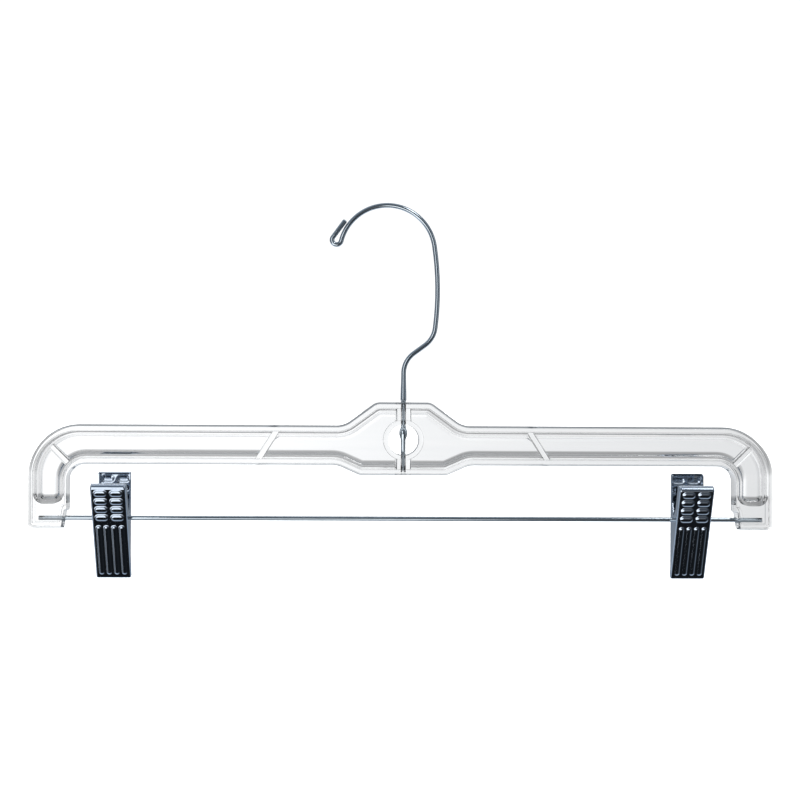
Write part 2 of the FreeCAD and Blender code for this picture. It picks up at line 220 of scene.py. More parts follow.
class ClipSizes(bpy.types.PropertyGroup):
    """One pinch clip: two pressed legs and a strip spring. Heights are counted from the bar's axis."""
    width: size("Width", "Width of the front leg", 16.6)
    sheet: size("Sheet", "Thickness of the steel", 0.5)
    nest: size("Nest", "Gap between the two legs' ears", 0.15)
    handle: size("Handle", "Height of a leg above the bar", 21.8)
    jaw: size("Jaw", "Length of a leg below the bar", 28.3)
    face: size("Face", "From the bar's axis to a leg's face", 8.9)
    leg_angle: angle("Leg angle", "Between the two faces when the clip is shut", 26.0)
    flange: size("Handle flange", "Depth of the side walls beside the handle", 4.8)
    corner_r: size("Top corner", "Radius of the handle's top", 1.6)
    bend_r: size("Bend", "Outer radius where a side wall is folded", 0.9)
    ear_r: size("Ear", "Radius of the ear round the bar", 3.0)
    ear_top: size("Ear top", "Where the wall begins to widen to the ear", 8.0)
    jaw_setback: size("Jaw setback", "From the middle plane to the wall above the teeth", 0.9)
    jaw_gap: size("Jaw gap", "From the middle plane to the teeth", 0.12)
    teeth: bpy.props.IntProperty(name="Teeth", description="Teeth on each jaw wall", default=5, min=1)
    tooth: size("Tooth pitch", "From one tooth to the next", 1.35)
    tooth_depth: size("Tooth depth", "Height of a tooth", 0.6)
    emboss: size("Emboss", "How far the pattern is pressed out", 0.45)
    soft_edge: size("Soft edge", "How far in from its edge a pressed shape still rises", 1.25)
    oval_length: size("Oval length", "Length of a pressed oval", 6.2)
    oval_width: size("Oval width", "Width of a pressed oval", 3.4)
    oval_pitch: size("Oval pitch", "From one row of ovals to the next", 4.33)
    oval_column: size("Oval column", "From the middle to each column", 3.7)
    oval_rows: bpy.props.IntProperty(name="Oval rows", description="Rows of ovals", default=4, min=1)
    oval_top: size("Oval top", "From the top edge to the first row", 3.7)
    rib_width: size("Rib width", "Width of a pressed rib", 2.6)
    rib_length: size("Rib length", "Length of a pressed rib", 26.9)
    rib_pitch: size("Rib pitch", "From one pressed rib to the next", 3.6)
    ribs: bpy.props.IntProperty(name="Ribs", description="Pressed ribs on each face", default=4, min=1)
    rib_foot: size("Rib foot", "From the jaw edge to the ribs", 2.3)
    spring_width: size("Spring width", "Width of the strip", 9.0)
    spring_sheet: size("Spring strip", "Thickness of the strip", 0.4)
    spring_arm: size("Spring arm", "Height of the strip's arms", 16.0)
    spring_gap: size("Spring gap", "From an arm to the leg that it pushes", 0.3)
    running: size("Running gap", "Clearance round the bar", 0.06)


class Finishes(bpy.types.PropertyGroup):
    """Colours of the materials and the studio."""
    body: colour("Clear body", "Water-clear polystyrene", "#FBFCFD")
    chrome: colour("Chrome", "Bright chrome plate on wire", "#C6CFD6")
    nickel: colour("Clip plate", "Bright plate on the pressed clips", "#C4CEDA")
    strip: colour("Spring strip", "Tempered strip steel", "#8A939B")
    floor: colour("Floor", "Studio floor", "#F4F4F3")


class Studio(bpy.types.PropertyGroup):
    """Camera and floor."""
    azimuth: angle("Azimuth", "Turn of the camera to the left of straight on", 1.82)
    roll: angle("Roll", "Roll of the camera", 0.32)
    distance: size("Distance", "From the camera to the middle of the hanger", 764.0)
    target_x: size("Aim across", "Point that the camera looks at, across", -1.65)
    target_z: size("Aim up", "Point that the camera looks at, up", -90.3)
    lens: bpy.props.FloatProperty(name="Lens", description="Focal length in millimetres", default=71.9)
    floor_drop: size("Floor drop", "From the clips' jaws to the floor", 150.0)


GROUPS = {
    "hanger_body": BodySizes, "hanger_wires": WireSizes, "hanger_clips": ClipSizes,
    "hanger_finishes": Finishes, "hanger_studio": Studio,
}


# ---------------------------------------------------------------- nodes and meshes

def add(tree, kind, settings=None, inputs=None):
    """Add a node, set its properties, and set or link its inputs, by name or by place."""
    node = tree.nodes.new(kind)
    for name, value in (settings or {}).items():
        setattr(node, name, value)
    for key, value in (inputs or {}).items():
        socket = node.inputs[key]
        if isinstance(value, bpy.types.NodeSocket):
            tree.links.new(value, socket)
        else:
            socket.default_value = value
    return node


def new_geometry_tree(name, sockets):
    """A tree from geometry to geometry with a material and the named inputs, and those inputs."""
    tree = bpy.data.node_groups.new(name, "GeometryNodeTree")
    tree.interface.new_socket("Geometry", in_out="OUTPUT", socket_type="NodeSocketGeometry")
    for label, kind in {"Geometry": "Geometry", **sockets, "Material": "Material"}.items():
        tree.interface.new_socket(label, in_out="INPUT", socket_type="NodeSocket" + kind)
    return tree, add(tree, "NodeGroupInput").outputs


def close_geometry_tree(tree, geometry, finish):
    """End a tree: what it made is realised and gets its material."""
    real = add(tree, "GeometryNodeRealizeInstances", inputs={"Geometry": geometry})
    dressed = add(tree, "GeometryNodeSetMaterial", inputs={"Geometry": real.outputs[0], "Material": finish})
    add(tree, "NodeGroupOutput", inputs={"Geometry": dressed.outputs[0]})


def new_object(name, mesh):
    thing = bpy.data.objects.new(name, mesh)
    bpy.context.scene.collection.objects.link(thing)
    return thing


def mesh_from(name, bm):
    """A bmesh as a mesh, its doubles merged and its faces turned outwards."""
    bmesh.ops.remove_doubles(bm, verts=bm.verts, dist=MERGE)
    bmesh.ops.recalc_face_normals(bm, faces=bm.faces)
    mesh = bpy.data.meshes.new(name)
    bm.to_mesh(mesh)
    bm.free()
    return mesh


def settled(thing):
    """The object with its modifiers worked into a plain mesh."""
    bpy.context.view_layer.update()
    mesh = bpy.data.meshes.new_from_object(thing.evaluated_get(bpy.context.evaluated_depsgraph_get()))
    thing.modifiers.clear()
    thing.data = mesh
    mesh.name = thing.name
    return thing


def smooth(mesh, degrees):
    """Smooth shading that breaks at edges sharper than the angle."""
    mesh.shade_smooth()
    mesh.set_sharp_from_angle(angle=math.radians(degrees))


def give(thing, finish):
    thing.data.materials.clear()
    thing.data.materials.append(finish)


def must_have(mesh, faces):
    """Stop the script where a piece lost its shape on the way."""
    if len(mesh.polygons) < faces:
        raise RuntimeError(f"{mesh.name} has only {len(mesh.polygons)} faces, and needs {faces}")


def hand_over(thing, body, node):
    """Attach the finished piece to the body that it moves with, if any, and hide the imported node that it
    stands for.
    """
    if body:
        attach(thing, body)
    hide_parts(node)


def loft(rings):
    """A closed solid through rings that all have the same number of points."""
    bm = bmesh.new()
    rows = [[bm.verts.new(p) for p in ring] for ring in rings]
    for low, high in zip(rows, rows[1:]):
        for i in range(len(low)):
            bm.faces.new((low[i - 1], low[i], high[i], high[i - 1]))
    bm.faces.new(rows[0])
    bm.faces.new(rows[-1])
    return bm


def turned_about_y(profile, place, segments):
    """A solid turned about Y from a closed (radius, depth) profile."""
    bm = bmesh.new()
    columns = []
    for k in range(segments):
        a = math.tau * k / segments
        columns.append([
            bm.verts.new(Vector((r * math.cos(a), depth, r * math.sin(a))) + Vector(place))
            for r, depth in profile
        ])
    for k in range(segments):
        one, other = columns[k - 1], columns[k]
        for i in range(len(profile)):
            bm.faces.new((one[i - 1], one[i], other[i], other[i - 1]))
    return bm


def rod(radius, start, end, segments):
    """A plain cutter between two points."""
    start, end = Vector(start), Vector(end)
    turn = (end - start).to_track_quat("Z", "Y")
    rings = []
    for point in (start, end):
        rings.append([
            point + turn @ Vector((radius * math.cos(math.tau * k / segments),
                                   radius * math.sin(math.tau * k / segments), 0))
            for k in range(segments)
        ])
    return loft(rings)


def carve(thing, tools):
    """Cut or join a list of (operation, bmesh) tools with the object, in order."""
    spent = []
    for number, (operation, bm) in enumerate(tools):
        tool = new_object(f"tool_{number}", mesh_from(f"tool_{number}", bm))
        modifier = thing.modifiers.new(tool.name, "BOOLEAN")
        modifier.operation, modifier.solver, modifier.object = operation, "EXACT", tool
        spent.append(tool)
    settled(thing)
    for tool in spent:
        mesh = tool.data
        bpy.data.objects.remove(tool)
        bpy.data.meshes.remove(mesh)
    return thing


# ---------------------------------------------------------------- materials

def new_material(name):
    made = bpy.data.materials.new(name)
    made.use_nodes = True
    made.node_tree.nodes.clear()
    return made, made.node_tree


def clear_polystyrene(f):
    """General-purpose polystyrene from a polished mould: water-clear, with faint flow lines along
    the arms that wave what is seen through it, and a few rubbed patches from rails and boxes."""
    made, tree = new_material("clear_polystyrene_moulded")
    where = add(tree, "ShaderNodeTexCoord").outputs["Object"]
    # flow lines run along the arms: about 3 mm apart across them, 60 mm long
    stretched = add(tree, "ShaderNodeMapping", inputs={"Vector": where, "Scale": (16.0, 120.0, 330.0)})
    flow = add(tree, "ShaderNodeTexNoise", {"noise_dimensions": "3D"},
               {"Vector": stretched.outputs[0], "Scale": 1.0, "Detail": 2.0, "Roughness": 0.5})
    # sink marks and mould waviness about 12 mm across
    sink = add(tree, "ShaderNodeTexNoise", inputs={"Vector": where, "Scale": 85.0, "Detail": 1.0})
    height = add(tree, "ShaderNodeMath", {"operation": "ADD"},
                 {0: flow.outputs["Fac"], 1: sink.outputs["Fac"]})
    # the end blocks fill last: wavy weld marks across them, about 2 mm apart
    marks = add(tree, "ShaderNodeMapping", inputs={"Vector": where, "Scale": (70.0, 1.0, 420.0)})
    weld = add(tree, "ShaderNodeTexNoise",
               inputs={"Vector": marks.outputs[0], "Scale": 1.0, "Detail": 2.0, "Distortion": 0.6})
    height_up = add(tree, "ShaderNodeSeparateXYZ", inputs={0: where}).outputs["Z"]
    block_top = BAR_Z + bpy.context.scene.hanger_body.block_top
    low = add(tree, "ShaderNodeMapRange", {"interpolation_type": "SMOOTHSTEP"}, {
        "Value": height_up, "From Min": block_top - 1.7 * MM, "From Max": block_top + 1.3 * MM,
        "To Min": 12.0, "To Max": 0.0})
    welded = add(tree, "ShaderNodeMath", {"operation": "MULTIPLY_ADD"},
                 {0: weld.outputs["Fac"], 1: low.outputs[0], 2: height.outputs[0]})
    bump = add(tree, "ShaderNodeBump",
               inputs={"Height": welded.outputs[0], "Strength": 0.35, "Distance": 0.008 * MM})
    # rubbed patches some 20 mm across
    rub = add(tree, "ShaderNodeTexNoise",
              inputs={"Vector": where, "Scale": 50.0, "Detail": 6.0, "Roughness": 0.7})
    rough = add(tree, "ShaderNodeMapRange", inputs={
        "Value": rub.outputs["Fac"], "From Min": 0.5, "From Max": 0.8, "To Min": 0.01, "To Max": 0.05})
    tint = add(tree, "ShaderNodeMix", {"data_type": "RGBA"}, {
        "Factor": flow.outputs["Fac"], 6: (*f.body, 1.0), 7: (*linear("#F4F6F8"), 1.0)})
    shader = add(tree, "ShaderNodeBsdfPrincipled", inputs={
        "Base Color": tint.outputs[2], "Roughness": rough.outputs[0], "IOR": 1.59,
        "Transmission Weight": 1.0, "Normal": bump.outputs[0]})
    add(tree, "ShaderNodeOutputMaterial", inputs={"Surface": shader.outputs[0]})
    return made


def lined_steel(name, tint, dark, vector, grain, roughness, depth):
    """Drawn or rolled steel, plated or bare: a mirror with fine lines left by the die or the rolls,
    and a slightly uneven colour."""
    made, tree = new_material(name)
    where = add(tree, "ShaderNodeTexCoord").outputs
    stretched = add(tree, "ShaderNodeMapping", inputs={"Vector": where[vector], "Scale": grain})
    lines = add(tree, "ShaderNodeTexNoise",
                inputs={"Vector": stretched.outputs[0], "Scale": 1.0, "Detail": 3.0, "Roughness": 0.6})
    # clouds in its colour about 5 mm across
    clouds = add(tree, "ShaderNodeTexNoise",
                 inputs={"Vector": where["Object"], "Scale": 200.0, "Detail": 3.0})
    blend = add(tree, "ShaderNodeMix", {"data_type": "RGBA"}, {
        "Factor": clouds.outputs["Fac"], 6: (*tint, 1.0), 7: (*dark, 1.0)})
    rough = add(tree, "ShaderNodeMapRange", inputs={
        "Value": lines.outputs["Fac"], "From Min": 0.3, "From Max": 0.7,
        "To Min": roughness[0], "To Max": roughness[1]})
    bump = add(tree, "ShaderNodeBump",
               inputs={"Height": lines.outputs["Fac"], "Strength": 0.5, "Distance": depth})
    shader = add(tree, "ShaderNodeBsdfPrincipled", inputs={
        "Base Color": blend.outputs[2], "Metallic": 1.0, "Roughness": rough.outputs[0],
        "Normal": bump.outputs[0]})
    add(tree, "ShaderNodeOutputMaterial", inputs={"Surface": shader.outputs[0]})
    return made


# ---------------------------------------------------------------- the clear body

def inset(corners, by, least_r=0.2 * MM):
    """Every side of an (x, z, radius) outline moved in, with its round corners moved along."""
    moved = []
    count = len(corners)
    for i, (x, z, r) in enumerate(corners):
        before = Vector((x, z)) - Vector(corners[i - 1][:2])
        after = Vector(corners[(i + 1) % count][:2]) - Vector((x, z))
        a, b = before.normalized(), after.normalized()
        turn = a.x * b.y - a.y * b.x
        step = by / (1 + a.dot(b))
        new_r = r + by if turn > 0 else max(r - by, least_r)
        moved.append((x + (a.y + b.y) * step, z - (a.x + b.x) * step, new_r))
    return moved


def corner_steps(corners):
    """How many segments each round corner gets, so that every inset of an outline has as many points."""
    return [max(4, min(24, round(r / (0.75 * MM)))) for _, _, r in corners]


def outline_ring(corners, steps, y):
    """The rounded outline as points at one depth."""
    ring = []
    count = len(corners)
    for i, (x, z, r) in enumerate(corners):
        here = Vector((x, z))
        a = (Vector(corners[i - 1][:2]) - here).normalized()
        b = (Vector(corners[(i + 1) % count][:2]) - here).normalized()
        half = a.angle(b) / 2
        centre = here + (a + b).normalized() * (r / math.sin(half))
        first = here + a * (r / math.tan(half)) - centre
        last = here + b * (r / math.tan(half)) - centre
        start = math.atan2(first.y, first.x)
        turn = (math.atan2(last.y, last.x) - start + math.pi) % math.tau - math.pi
        for k in range(steps[i] + 1):
            at = start + turn * k / steps[i]
            ring.append((centre.x + r * math.cos(at), y, centre.y + r * math.sin(at)))
    return ring


def body_corners(s, foot, foot_r, stepped):
    """The body's outline at the parting line, clockwise from the top of the centre."""
    end = BODY_HALF
    inner = end - s.drop_arm
    small = 0.5 * MM
    if stepped:
        feet = [(inner + s.block_step + s.block_lean, foot, small),
                (inner + s.block_step, s.block_step_z, small),
                (inner, s.block_step_z, small)]
    else:
        feet = [(inner, foot, foot_r)]
    right = [
        (s.centre_top_half, s.centre_top, s.centre_r),
        (s.centre_slope_half, s.arm_top, s.slope_r),
        (end, s.arm_top, s.shoulder_r),
        (end, foot, foot_r),
        *feet,
        (inner, s.arm_bottom, s.armpit_r),
        (s.centre_under_half, s.arm_bottom, s.slope_r),
        (s.centre_bottom_half, s.centre_bottom, s.centre_r),
    ]
    return right + [(-x, z, r) for x, z, r in reversed(right)]


def body_blank(s):
    """Two drafted halves that meet at the parting line, with rounded edges at both faces."""
    corners = body_corners(s, -s.foot, s.foot_r, True)
    steps = corner_steps(corners)
    half, e = s.depth / 2, s.edge_r
    places = [(-half + e * (1 - math.cos(math.radians(a))), s.draft + e * (1 - math.sin(math.radians(a))))
              for a in (0, 22, 45, 68, 90)]
    rings = places + [(0.0, 0.0)] + [(-y, by) for y, by in reversed(places)]
    return loft([outline_ring(inset(corners, by), steps, y) for y, by in rings])


def body_pocket(s, side):
    """The hollow between the rims on one side of the web, with its cove."""
    rim = s.draft + s.rim
    mouth = inset(body_corners(s, s.block_top - rim, s.pocket_r + rim, False), rim, s.pocket_r)
    steps = corner_steps(mouth)
    top = s.depth / 2 - s.block_recess + 0.3 * MM       # runs on a little into the recess
    last = math.asin(1 - (top - s.web / 2) / s.cove_r)
    rings = []
    for k in range(COVE_STEPS + 1):
        a = math.pi / 2 + (last - math.pi / 2) * k / COVE_STEPS
        rings.append((s.web / 2 + s.cove_r * (1 - math.sin(a)), s.cove_r * (1 - math.cos(a))))
    return loft([outline_ring(inset(mouth, by), steps, side * y) for y, by in rings])


def body_recess(s, side):
    """The shallow recess inside the rims, which runs on over the end blocks. Its lip is rounded."""
    corners = body_corners(s, -s.foot, s.foot_r, True)
    steps = corner_steps(corners)
    face, by, e = s.depth / 2, s.draft + s.rim, s.edge_r
    rings = [(face - s.block_recess, by)]
    for a in QUARTER:
        rings.append((face - e + e * math.sin(math.radians(a)), by - e * (1 - math.cos(math.radians(a)))))
    rings.append((face + MM, by - e))
    return loft([outline_ring(inset(corners, b), steps, side * y) for y, b in rings])


def straight_rib(top, foot, width, depth, lean, edge_r, reach):
    """A bar across the web between two (x, z) points, run on by reach at both ends. Its sides lean in
    towards its faces, and its edges are rounded."""
    top, foot = Vector(top), Vector(foot)
    along = (foot - top).normalized()
    side = Vector((-along.y, along.x)) * (width / 2)
    a, b = top - along * reach, foot + along * reach
    rings = []
    for share, narrower in ((1.0, lean + edge_r), (1 - 0.6 * edge_r / depth, lean + 0.4 * edge_r),
                            (1 - 2 * edge_r / depth, lean), (0.0, 0.0)):
        edge = side * (1 - narrower / side.length)
        rings.append((share * depth / 2, edge))
    rings = [(-y, edge) for y, edge in rings] + list(reversed(rings[:-1]))
    return loft([[(p.x, y, p.y) for p in (a - edge, a + edge, b + edge, b - edge)] for y, edge in rings])


def body_tools(s):
    """Everything that is cut from the blank or joined to it, in order."""
    inner = BODY_HALF - s.drop_arm
    drop = s.corner_rib_z - s.arm_bottom
    tools = []
    for side in (-1, 1):
        tools += [("DIFFERENCE", body_pocket(s, side)), ("DIFFERENCE", body_recess(s, side))]
    for side in (-1, 1):
        slash = ((side * s.slash_x, s.arm_top - s.draft - s.rim),
                 (side * (s.slash_x + s.slash_lean), s.arm_bottom + s.draft + s.rim))
        corner = ((side * (inner + drop), s.corner_rib_z), (side * inner, s.arm_bottom))
        for ends, reach in ((slash, 0.6 * MM), (corner, -1.0 * MM)):
            rib = straight_rib(*ends, s.rib_width, s.rib_depth, s.rib_lean, s.edge_r, reach)
            tools.append(("UNION", rib))
    boss = straight_rib((0, s.centre_top), (0, s.centre_bottom), s.boss_width, s.boss_depth,
                        2 * s.rib_lean, 3 * s.edge_r, -0.6 * MM)
    tools.append(("UNION", boss))
    # the ring goes into a bore that reaches to the middle of its wall
    ends = ((0, -BEYOND_FACES, s.window_z), (0, BEYOND_FACES, s.window_z))
    tools.append(("DIFFERENCE", rod((s.window_r + s.ring_r) / 2, *ends, RING_SIDES * 3 // 4)))
    half, e = s.ring_depth / 2, 1.6 * s.edge_r
    section = []
    for r0, h0, first in ((s.window_r + e, -half + e, 180), (s.ring_r - e, -half + e, 270),
                          (s.ring_r - e, half - e, 0), (s.window_r + e, half - e, 90)):
        for a in QUARTER:
            at = math.radians(first + a)
            section.append((r0 + e * math.cos(at), h0 + e * math.sin(at)))
    tools.append(("UNION", turned_about_y(section, (0, 0, s.window_z), RING_SIDES)))
    w = bpy.context.scene.hanger_wires
    shank = ((0, 0, w.shank_foot - 0.6 * MM), (0, 0, ABOVE_CENTRE))
    bar = ((-inner - s.seat, 0, 0), (inner + s.seat, 0, 0))
    tools.append(("DIFFERENCE", rod(w.wire_r + HOOK_GAP, *shank, WIRE_SIDES)))
    tools.append(("DIFFERENCE", rod(w.bar_r - PRESS_FIT, *bar, WIRE_SIDES)))
    return tools


class HANGER_OT_clear_body(bpy.types.Operator):
    """Mould the clear body: rims, coved web, end blocks, window ring, shank bosses and ribs"""
    bl_idname = "hanger.clear_body"
    bl_label = "Clear body"

    def execute(self, context):
        s = context.scene.hanger_body
        body = new_object("clear_body", mesh_from("clear_body", body_blank(s)))
        carve(body, body_tools(s))
        bm = bmesh.new()
        bm.from_mesh(body.data)
        bmesh.ops.translate(bm, verts=bm.verts, vec=(0, 0, BAR_Z))
        body.data = mesh_from("clear_body", bm)
        must_have(body.data, 2000)
        smooth(body.data, 28)
        weighted = body.modifiers.new("flat faces stay flat", "WEIGHTED_NORMAL")
        weighted.keep_sharp = True
        settled(body)
        give(body, clear_polystyrene(context.scene.hanger_finishes))
        hand_over(body, "hanger", "hanger_body")
        return {"FINISHED"}


# ---------------------------------------------------------------- wires and strips that follow a path

def path_tree(name, strip):
    """Geometry nodes that sweep a round wire, or a flat strip, along a line of points.

    A point's own thickness is in its wire_radius attribute. The surface gets a UV map: metres
    along the path, and turns round it."""
    sizes = dict.fromkeys(("Width", "Thickness", "Edge radius"), "Float") if strip else {"Sides": "Int"}
    tree, given = new_geometry_tree(name, sizes)
    line = add(tree, "GeometryNodeMeshToCurve", inputs={"Mesh": given["Geometry"]})
    along = add(tree, "GeometryNodeSplineParameter")
    keep = add(tree, "GeometryNodeCaptureAttribute", {"domain": "POINT"}, {"Geometry": line.outputs[0]})
    keep.capture_items.new("FLOAT", "along")
    tree.links.new(along.outputs["Length"], keep.inputs["along"])
    if strip:
        flat = add(tree, "GeometryNodeCurvePrimitiveQuadrilateral",
                   inputs={"Width": given["Width"], "Height": given["Thickness"]})
        section = add(tree, "GeometryNodeFilletCurve", {"mode": "POLY"},
                      {"Curve": flat.outputs[0], "Radius": given["Edge radius"], "Count": 3})
        thickness = 1.0
    else:
        section = add(tree, "GeometryNodeCurvePrimitiveCircle",
                      inputs={"Resolution": given["Sides"], "Radius": 1.0})
        thickness = add(tree, "GeometryNodeInputNamedAttribute", {"data_type": "FLOAT"},
                        {"Name": "wire_radius"}).outputs["Attribute"]
    keep_round = add(tree, "GeometryNodeCaptureAttribute", {"domain": "POINT"},
                     {"Geometry": section.outputs[0]})
    keep_round.capture_items.new("FLOAT", "round")
    tree.links.new(along.outputs["Factor"], keep_round.inputs["round"])
    swept = add(tree, "GeometryNodeCurveToMesh", inputs={
        "Curve": keep.outputs["Geometry"], "Profile Curve": keep_round.outputs["Geometry"],
        "Scale": thickness, "Fill Caps": True})
    uv = add(tree, "ShaderNodeCombineXYZ",
             inputs={"X": keep.outputs["along"], "Y": keep_round.outputs["round"]})
    mapped = add(tree, "GeometryNodeStoreNamedAttribute", {"data_type": "FLOAT2", "domain": "CORNER"},
                 {"Geometry": swept.outputs[0], "Name": "UVMap", "Value": uv.outputs[0]})
    close_geometry_tree(tree, mapped.outputs[0], given["Material"])
    return tree


def with_tree(thing, tree, values):
    """Put a node tree on the object and set its named inputs."""
    modifier = thing.modifiers.new(tree.name, "NODES")
    modifier.node_group = tree
    for item in tree.interface.items_tree:
        if item.in_out == "INPUT" and item.name in values:
            modifier[item.identifier] = values[item.name]
    return thing


def line_object(name, points, radii=None):
    """An object that holds only a line of points, with the wire's radius at each."""
    mesh = bpy.data.meshes.new(name)
    mesh.from_pydata(points, [(i, i + 1) for i in range(len(points) - 1)], [])
    if radii:
        held = mesh.attributes.new("wire_radius", "FLOAT", "POINT")
        held.data.foreach_set("value", radii)
    return new_object(name, mesh)


def shank_profile(w, s):
    """(height, radius) points up the shank: foot, bead, collar and flare."""
    collar_top = s.window_z + math.sqrt(s.window_r ** 2 - w.collar_r ** 2) - w.collar_gap
    collar_foot = collar_top - w.collar_length
    bead_foot = collar_foot - w.bead_length
    flare_foot = s.centre_top + w.flare_gap
    small = 0.03 * MM
    profile = [(w.shank_foot, 0.5 * w.wire_r), (w.shank_foot + 0.2 * MM, 0.85 * w.wire_r),
               (w.shank_foot + 0.5 * MM, w.wire_r)]
    for k in range(BEAD_STEPS + 1):
        share = k / BEAD_STEPS
        # fuller above the middle, as an upset bead is
        swell = math.sin(math.pi * share ** 1.25) ** 0.75
        profile.append((bead_foot + w.bead_length * share, w.wire_r + (w.bead_r - w.wire_r) * swell))
    profile += [(collar_foot + small, w.collar_r - small), (collar_foot + 4 * small, w.collar_r),
                (collar_top - 4 * small, w.collar_r), (collar_top - small, w.collar_r - 2 * small),
                (collar_top, w.wire_r), (flare_foot, w.wire_r)]
    for share, out in ((0.02, 0.7), (0.05, 1.0), (0.25, 0.86), (0.5, 0.55), (0.75, 0.22), (1.0, 0.0)):
        profile.append((flare_foot + w.flare_length * share, w.wire_r + (w.flare_r - w.wire_r) * out))
    return profile


def hook_line(w, s):
    """Points and radii of the hook's wire: up the shank, then the bends as a wire former makes them."""
    points = [Vector((0, 0, z)) for z, _ in shank_profile(w, s)]
    radii = [r for _, r in shank_profile(w, s)]
    place, heading = Vector((0, 0, w.shank_top)), math.pi / 2
    points.append(place.copy())
    bends = ((w.neck_r, -w.neck_turn, w.slant), (w.side_r, w.side_turn, 0.0), (w.bow_r, w.bow_turn, 0.0),
             (w.top_r, w.top_turn, 0.0), (w.tip_r, -w.tip_turn, w.tip_length))
    for radius, turn, run in bends:
        side = math.copysign(1, turn)
        centre = place + Vector((-math.sin(heading), 0, math.cos(heading))) * (side * radius)
        steps = max(8, round(abs(turn) / math.radians(4)))
        for k in range(1, steps + 1):
            a = heading + turn * k / steps
            points.append(centre + Vector((math.sin(a), 0, -math.cos(a))) * (side * radius))
        place, heading = points[-1].copy(), heading + turn
        if run:
            way = Vector((math.cos(heading), 0, math.sin(heading)))
            end = place + way * run
            if radius != w.tip_r:
                points.append(end)
            place = end
    radii += [w.wire_r] * (len(points) - len(radii))
    blunt = 0.7 * w.wire_r         # the cut end is tumbled to a blunt round
    for k in range(TUMBLE_STEPS + 1):
        a = math.pi / 2 * k / TUMBLE_STEPS * 0.94      # the flat left at its middle is small, not nothing
        points.append(place - way * (blunt * (1 - math.sin(a))))
        radii.append(w.wire_r * math.cos(a))
    return points, radii


class HANGER_OT_wires(bpy.types.Operator):
    """Draw the swivel hook and the straight bar from round wire"""
    bl_idname = "hanger.wires"
    bl_label = "Hook and bar"

    def execute(self, context):
        w, s, f = (getattr(context.scene, k) for k in ("hanger_wires", "hanger_body", "hanger_finishes"))
        # drawing lines run along the wire: about 0.25 mm apart round it, 8 mm long
        chrome = lined_steel("chrome_plated_drawn_wire", f.chrome, linear("#AEB9C2"), "UV",
                              (120.0, 26.0, 1.0), (0.05, 0.11), 0.0012 * MM)
        tree = path_tree("Drawn wire", False)
        up = Vector((0, 0, BAR_Z))
        points, radii = hook_line(w, s)
        hook = line_object("hook_wire", [p + up for p in points], radii)
        reach = BODY_HALF - s.drop_arm + s.seat
        ends = [(0.0, 0.7), (0.15 * MM, 0.9), (0.4 * MM, 1.0)]
        steps = [(-reach + d, r) for d, r in ends]
        steps += [(-reach + 2 * reach * k / BAR_STEPS, 1.0) for k in range(1, BAR_STEPS)]
        steps += [(reach - d, r) for d, r in reversed(ends)]
        bar = line_object("bar_wire", [(x, 0, BAR_Z) for x, _ in steps], [r * w.bar_r for _, r in steps])
        for wire, body, node in ((hook, "hook", "swivel_hook"), (bar, "hanger", "wire_bar")):
            settled(with_tree(wire, tree, {"Sides": WIRE_SIDES, "Material": chrome}))
            must_have(wire.data, 500)
            smooth(wire.data, 60)
            hand_over(wire, body, node)
        return {"FINISHED"}


# ---------------------------------------------------------------- clips

def pad_steps(pad, along, across, length, width):
    """The sums for how far a point is from the edge of a round-ended pad, less than nothing inside it."""
    return (
        (f"{pad} straight", "SUBTRACT", length, width), (f"{pad} half", "MULTIPLY", f"{pad} straight", 0.5),
        (f"{pad} out", "ABSOLUTE", along), (f"{pad} past", "SUBTRACT", f"{pad} out", f"{pad} half"),
        (f"{pad} over", "MAXIMUM", f"{pad} past", 0.0),
        (f"{pad} over squared", "MULTIPLY", f"{pad} over", f"{pad} over"),
        (f"{pad} across squared", "MULTIPLY", across, across),
        (f"{pad} squares", "ADD", f"{pad} over squared", f"{pad} across squared"),
        (f"{pad} reach", "SQRT", f"{pad} squares"), (f"{pad} end", "MULTIPLY", width, 0.5),
        (pad, "SUBTRACT", f"{pad} reach", f"{pad} end"),
    )


